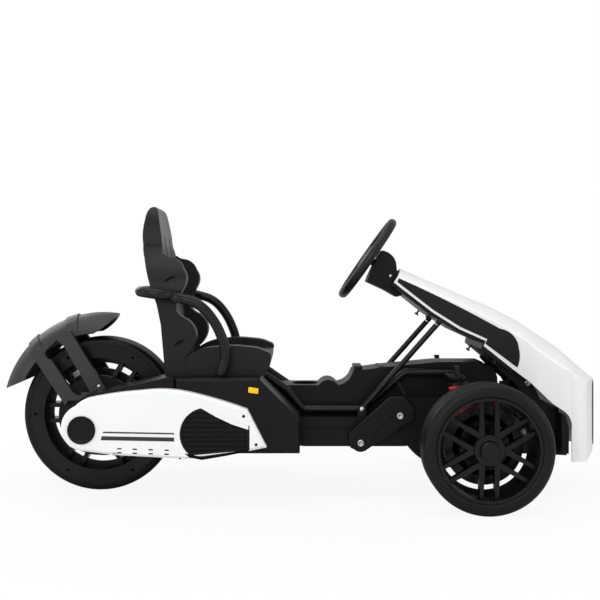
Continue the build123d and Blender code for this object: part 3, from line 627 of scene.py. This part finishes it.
# bolt head on a face that looks along the axis, round or with a socket
def bolt(name, spot, axis, radius, height, look, body, slot, ringed=True):
    section = [(HEAD_SINK, radius * HEAD_FOOT)]
    section += [(height * up, radius * out) for up, out in (RINGED_HEAD if ringed else ROUND_HEAD)]
    head = turned_mesh(mm(section), tuple(c / 1000 for c in spot), axis, 28)
    new_piece(name, *head, look, body, slot)


# bolts and screws of both sides: name, place on the left side, radius, height, kind
BOLT_ROWS = [
    ("link_bolt_rear", (128, LINK_FACE, 117), 7.5, 5, "ring"),
    ("link_bolt_front", (211, LINK_FACE, 174), 7.5, 5, "ring"),
    ("strut_bolt_foot", (133, 106, 183), 6.0, 4, "steel"),
    ("lug_bolt", (486, 108, 240), 6.5, 5, "ring"),
    ("housing_screw", (199, 45, 468), 3.6, 2.2, "steel"),
    ("fender_bolt", (-431, 90.7, 231), 4.2, 3, "steel"),
    ("cover_screw_a", (-372, 269.5, 111.5), 4.0, 2.5, "ring"),
    ("cover_screw_b", (-241, 240, 103), 4.5, 26, "dark"),
    ("cover_screw_c", (-179, 265.8, 211), 3.4, 2, "dark"),
    ("cover_screw_d", (-113, 269.8, 187), 3.0, 1.4, "dark"),
    ("cover_screw_e", (-88, 269.8, 130), 3.0, 1.4, "dark"),
]


def bolts():
    for side, sign in SIDES:
        for name, (x, y, z), radius, height, kind in BOLT_ROWS:
            look, slot = ("black", "black_body") if kind == "dark" else ("steel", "steel")
            spot, out, ringed = (x, sign * y, z), (0, sign, 0), kind == "ring"
            bolt(name + "_" + side, spot, out, radius, height, look, "chassis", slot, ringed)


# slanted box shaped covers over the links behind the front wheels, each with a raised field
def link_covers():
    outer = curved_line([
        (104, 138), (180, 205), (190, 213, 206, 214), (220, 213, 231, 200), (242, 189, 240, 176),
        (238, 164, 222, 156), (160, 128), (146, 108), (137, 101, 123, 103), (108, 106, 103, 119),
        (101, 130, 104, 138),
    ])
    field = curved_line([
        (143, 142), (183, 178), (188, 183, 194, 181), (198, 178, 196, 173), (158, 137), (152, 133, 145, 135),
        (140, 138, 143, 142),
    ])
    for side, sign in SIDES:
        box = side_prism(outer[:-1], *sorted((sign * 138.0, sign * LINK_FACE)))
        piece = new_piece("link_box_" + side, *box, "black", "chassis", "black_body")
        edge_round(piece, 0.0032, 3)
        ridge = side_prism(field[:-1], *sorted((sign * 147.0, sign * 150.4)))
        piece = new_piece("link_field_" + side, *ridge, "black", "chassis", "black_body")
        edge_round(piece, 0.0012)


# straight cross beam that holds the dampers, below the top of the console
def damper_beam():
    outline = [
        (310, -200), (318, -208), (334, -208), (342, -200), (342, 200), (334, 208), (318, 208), (310, 200),
    ]
    bar = (mm([(x, y, z) for z in (254, 262) for x, y in outline]), prism_faces(len(outline)))
    beam = new_piece("damper_beam", *bar, "grille", "chassis", SLOTS["shock_tower"], smooth=False)
    edge_round(beam, 0.0015)
    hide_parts("shock_tower")


# dark domes of painted shade in the small holes of the flange of the rear rim
def rim_hole_shades():
    for side, sign in SIDES:
        for k in range(6):
            angle = math.radians(60 * k)
            along, up = (RIM_HOLE_RADIUS * way(angle) for way in (math.cos, math.sin))
            spot = (REAR[0] * 1000 + along, sign * RIM_HOLE_Y, REAR[2] * 1000 + up)
            bolt("rim_hole_shade_%s_%d" % (side, k), spot, (0, sign, 0), 3.4, 1.4, "hole", "rear_wheel", "rim")


# stripes along the covers
def stripes():
    thin = [(-393, 156.4), (-252, 153.6), (-252, 150.8), (-396, 153.4)]
    thick = [(-397, 147.2), (-252, 144.4), (-252, 136.6), (-399.5, 139.2)]
    for side, sign in SIDES:
        low, high = (sign * face for face in STRIPE_FACES)
        parts = [plate_mesh(mm(row), low, high) for row in (thin, thick)]
        new_piece("stripes_" + side, *joined(parts), "stripe", "chassis", "dark_panel", smooth=False)


# two rows of slots low on the covers, drawn as dark plates of painted shade, the black lip under the intakes,
# the white wedge over them, dark domes of painted shade in the small holes of the headrest, and the liner
# behind the nose
def cover_parts():
    lip = [
        (-232, 113), (-222, 104.5), (-197, 99.5), (-149, 107.5), (-103, 117), (-103, 121), (-149, 113),
        (-197, 106), (-222, 110.5),
    ]
    wedge = [(-200, 204.0), (-188, 201.5), (-103.5, 171.5), (-103.5, 160.0), (-136, 170.5), (-168, 185.5)]
    for side, sign in SIDES:
        parts = []
        # the slot plates are painted shade; the lip below shares their very dark material as its own black
        for x, z in ((-362, 122), (-331, 121), (-299, 120), (-267, 119)):
            for low in (z, z - 8):
                corners = ((-4.5, -1.2), (4.0, -1.4), (4.5, 1.2), (-4.0, 1.4))
                slot = [(x + along, low + up) for along, up in corners]
                parts.append(plate_mesh(mm(slot), sign * 0.2660, sign * COVER_FACE))
        parts.append(plate_mesh(mm(lip), sign * 0.2650, sign * COVER_FACE))
        new_piece("cover_slot_shade_and_lip_" + side, *joined(parts), "hole", "chassis", "dark_panel", smooth=False)
        prism = side_prism(wedge, *sorted((sign * 266.5, sign * 269.2)))
        new_piece("intake_lip_" + side, *prism, "white", "chassis", "white_body", smooth=False)
        # dark dome of painted shade where the headrest side has a small hole
        spot, out = (-323, sign * 116.6, 535), (0, sign, 0)
        bolt("headrest_hole_shade_" + side, spot, out, 2.6, 0.9, "hole", "chassis", "seat_shell", ringed=False)
    liner = plate_mesh(mm([(548, 96), (563, 96), (563, 150), (556, 176), (548, 180)]), -0.160, 0.160)
    new_piece("nose_liner", *liner, "black", "chassis", "black_body", smooth=False)


def intake_height(x):
    """Lowest and highest z of the opening at x, in millimetres."""
    if x < INTAKE_BEND_X:
        length, drop = INTAKE_ROUND
        reach = (x - INTAKE_BEND_X) / length
        low = INTAKE_FOOT + (12.0 if x < -229 else 0) + max(0.0, -(x + 220)) * 0.55
        high = INTAKE_TOP - (1 - math.sqrt(max(0.0, 1 - reach * reach))) * drop
    else:
        low = INTAKE_FOOT + (x + 220) * 11 / 119
        high = INTAKE_TOP - (x - INTAKE_BEND_X) * 35 / 98
    return low, high


# fine bars across the slats of the intakes, cut to the outline of the opening
def intake_bars():
    first, last, pitch, half, rim, shortest = -232, -106, 6, 0.9, 5.5, 8
    for side, sign in SIDES:
        parts = []
        for x in range(first, last, pitch):
            low, high = intake_height(x)
            low, high = low + rim, high - rim
            if high - low > shortest:
                outline = [(x - half, low), (x + half, low), (x + half, high), (x - half, high)]
                parts.append(plate_mesh(mm(outline), *(sign * face for face in INTAKE_FACES)))
        new_piece("intake_bars_" + side, *joined(parts), "grille", "chassis", "grille", smooth=False)


# dark plates of painted shade in the slanted recesses pressed into the sides of the seat
def seat_recess_shades():
    marks = [
        ([(-282, 454), (-276, 462), (-262, 468.5), (-258, 468.5), (-262, 464), (-272, 458)], (193.5, 190.6)),
        ([(-261, 323), (-254, 331), (-243, 337.5), (-239, 337.5), (-242, 332), (-250, 327)], (195, 195)),
    ]
    height, sunk, proud = 14.5, -1.0, 0.35
    for side, sign in SIDES:
        parts = []
        for row, (foot, head) in marks:
            base = row[0][1]
            outs = [foot + (head - foot) * (z - base) / height for _, z in row]
            verts = [(x, sign * (out + off), z) for off in (sunk, proud) for (x, z), out in zip(row, outs)]
            parts.append((mm(verts), prism_faces(len(row))))
        new_piece("seat_recess_shade_" + side, *joined(parts), "hole", "chassis", "seat_shell", smooth=False)


def nose_front(y, z):
    """X of the front of the nose, in millimetres: a cylinder that leans back above its upper edge."""
    upright = NOSE_CENTRE + math.sqrt(NOSE_RADIUS ** 2 - y * y)
    return min(upright, NOSE_FRONT - max(0.0, z - NOSE_BEND_Z) * NOSE_LEAN)


# tall rounded panel on the front of the nose, wrapped round its curve
def nose_panel():
    low, high, half, corner = 98.0, 249.0, 58.0, 26.0
    outer, inner, edge_drop, edge_width = 1.6, -1.5, 1.4, 3.0
    rows, columns = 60, 28
    verts, faces = [], []
    for lift in (outer, inner):
        for r in range(rows + 1):
            z = low + (high - low) * r / rows
            inset = corner - min(z - low, high - z, corner)
            reach = half - corner + math.sqrt(max(0.0, corner ** 2 - inset ** 2))
            for c in range(columns + 1):
                y = reach * (2 * c / columns - 1)
                edge = min(1.0, (reach - abs(y)) / edge_width, min(z - low, high - z) / edge_width)
                rise = lift - edge_drop * (1 - max(0.0, edge)) ** 2 if lift == outer else lift
                verts.append((nose_front(y, z) + rise, y, z))
    wide = columns + 1
    sheet = wide * (rows + 1)
    for r in range(rows):
        for c in range(columns):
            a = r * wide + c
            faces.append((a, a + 1, a + wide + 1, a + wide))
            faces.append((sheet + a, sheet + a + wide, sheet + a + wide + 1, sheet + a + 1))
        for c in (0, columns):
            a = r * wide + c
            faces.append((a, a + wide, sheet + a + wide, sheet + a))
    for r in (0, rows):
        for c in range(columns):
            a = r * wide + c
            faces.append((a, a + 1, sheet + a + 1, sheet + a))
    panel = new_piece("nose_panel", mm(verts), faces, "panel", "chassis", SLOTS["nose_strip"])
    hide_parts("nose_strip")


# blank yellow plate on the right of the seat base
def side_plate():
    plate = plate_mesh(mm([(-104, 243), (-84, 240), (-85, 229), (-105, 232)]), -0.2397, -0.2406)
    new_piece("side_plate", *plate, "yellow", "chassis", "black_body", smooth=False)


# pegs under the hood tray
def pegs():
    down = Vector((-0.55, 0, -0.83))
    across = Vector((0.004, 0, -0.0026))
    for side, sign in SIDES:
        for k, (x, z) in enumerate(((276, 386.5), (395, 304.0))):
            start = Vector((x / 1000, sign * 0.118, z / 1000))
            bar = swept_mesh([start - down * 0.003, start + down * 0.010], 0.0022, 12)
            low = start + down * 0.008
            foot = swept_mesh([low - across, low + across], 0.0019, 12)
            new_piece("peg_%s_%d" % (side, k), *joined([bar, foot]), "black", "chassis", "black_body")


rear_tyre()
wheel_webs()
arm_tubes()
hood_tray()
seat()
cover_parts()
for side, sign in SIDES:
    front_tyre(side, sign)
    coil(side, sign)
bolts()
link_covers()
damper_beam()
rim_hole_shades()
stripes()
intake_bars()
seat_recess_shades()
side_plate()
nose_panel()
pegs()


# camera, with the shift of its picture in pixels of the photo
CAMERA_PLACE = (-0.010, -2.730, 0.470)
CAMERA_LENS, CAMERA_SENSOR = 73.71, 36.0
PHOTO_SIDE = 600
SHIFT_RIGHT, SHIFT_UP = 5, -25

# the floor turns into plain white for the camera between two distances from the kart
FLOOR_HALF = 30
FADE_START, FADE_END, FADE_FIRST = 0.55, 1.25, 0.91
SOFT_LIGHT = 0.60

# lamps: name, place, target, width and height, power
LAMPS = [
    ("top", (-0.2, -0.4, 2.6), (0, 0, 0.3), (2.6, 1.6), 20),
    ("front", (-0.7, -3.0, 1.5), (0, 0, 0.3), (1.8, 1.2), 25),
    ("nose", (2.4, -1.4, 1.1), (0.2, 0, 0.3), (1.2, 1.2), 10),
    ("tail", (-2.5, -1.1, 1.0), (-0.4, 0, 0.2), (0.7, 1.5), 8),
    ("back", (-1.8, 2.4, 1.8), (0, 0, 0.3), (1.6, 1.2), 15),
]


def camera():
    data = bpy.data.cameras.new("camera")
    cam = bpy.data.objects.new("camera", data)
    scene.collection.objects.link(cam)
    cam.location = CAMERA_PLACE
    cam.rotation_euler = (math.radians(90), 0, 0)
    data.sensor_width = CAMERA_SENSOR
    data.lens = CAMERA_LENS
    data.shift_x = SHIFT_RIGHT / PHOTO_SIDE
    data.shift_y = SHIFT_UP / PHOTO_SIDE
    scene.camera = cam


def area(name, place, target, size, power):
    data = bpy.data.lights.new(name, "AREA")
    data.shape = "RECTANGLE"
    data.size, data.size_y = size
    data.energy = power
    lamp = bpy.data.objects.new(name, data)
    scene.collection.objects.link(lamp)
    lamp.location = place
    lamp.rotation_euler = (Vector(target) - Vector(place)).to_track_quat("-Z", "Y").to_euler()


def floor_piece():
    mesh = bpy.data.meshes.new("floor")
    corners = [(x * FLOOR_HALF, y * FLOOR_HALF, 0) for x, y in ((-1, -1), (1, -1), (1, 1), (-1, 1))]
    mesh.from_pydata(corners, [], [(0, 1, 2, 3)])
    floor = bpy.data.objects.new("floor", mesh)
    scene.collection.objects.link(floor)
    made = bpy.data.materials.new("floor")
    made.use_nodes = True
    tree = made.node_tree
    shader = tree.nodes["Principled BSDF"]
    shader.inputs["Base Color"].default_value = (0.8, 0.8, 0.8, 1)
    shader.inputs["Roughness"].default_value = 0.6
    shader.inputs["Specular IOR Level"].default_value = 0.1
    glow = tree.nodes.new("ShaderNodeEmission")
    glow.inputs["Strength"].default_value = 1.0
    path = tree.nodes.new("ShaderNodeLightPath")
    coords = tree.nodes.new("ShaderNodeTexCoord")
    reach = tree.nodes.new("ShaderNodeVectorMath")
    reach.operation = "LENGTH"
    tree.links.new(coords.outputs["Object"], reach.inputs[0])
    fade = tree.nodes.new("ShaderNodeMapRange")
    fade.inputs["From Min"].default_value = FADE_START
    fade.inputs["From Max"].default_value = FADE_END
    fade.inputs["To Min"].default_value = FADE_FIRST
    tree.links.new(reach.outputs["Value"], fade.inputs["Value"])
    share = tree.nodes.new("ShaderNodeMath")
    share.operation = "MULTIPLY"
    tree.links.new(fade.outputs["Result"], share.inputs[1])
    tree.links.new(path.outputs["Is Camera Ray"], share.inputs[0])
    mix = tree.nodes.new("ShaderNodeMixShader")
    tree.links.new(share.outputs[0], mix.inputs["Fac"])
    tree.links.new(shader.outputs["BSDF"], mix.inputs[1])
    tree.links.new(glow.outputs["Emission"], mix.inputs[2])
    tree.links.new(mix.outputs["Shader"], tree.nodes["Material Output"].inputs["Surface"])
    mesh.materials.append(made)


# soft light from all sides, seen by the camera as plain white
def world_light():
    world = bpy.data.worlds.new("studio")
    scene.world = world
    world.use_nodes = True
    tree = world.node_tree
    tree.nodes.clear()
    out = tree.nodes.new("ShaderNodeOutputWorld")
    soft = tree.nodes.new("ShaderNodeBackground")
    soft.inputs["Color"].default_value = (1, 1, 1, 1)
    soft.inputs["Strength"].default_value = SOFT_LIGHT
    seen = tree.nodes.new("ShaderNodeBackground")
    seen.inputs["Color"].default_value = (1, 1, 1, 1)
    seen.inputs["Strength"].default_value = 1.0
    path = tree.nodes.new("ShaderNodeLightPath")
    mix = tree.nodes.new("ShaderNodeMixShader")
    tree.links.new(path.outputs["Is Camera Ray"], mix.inputs["Fac"])
    tree.links.new(soft.outputs["Background"], mix.inputs[1])
    tree.links.new(seen.outputs["Background"], mix.inputs[2])
    tree.links.new(mix.outputs["Shader"], out.inputs["Surface"])


camera()
floor_piece()
world_light()
for lamp in LAMPS:
    area(*lamp)
scene.view_settings.view_transform = "Standard"
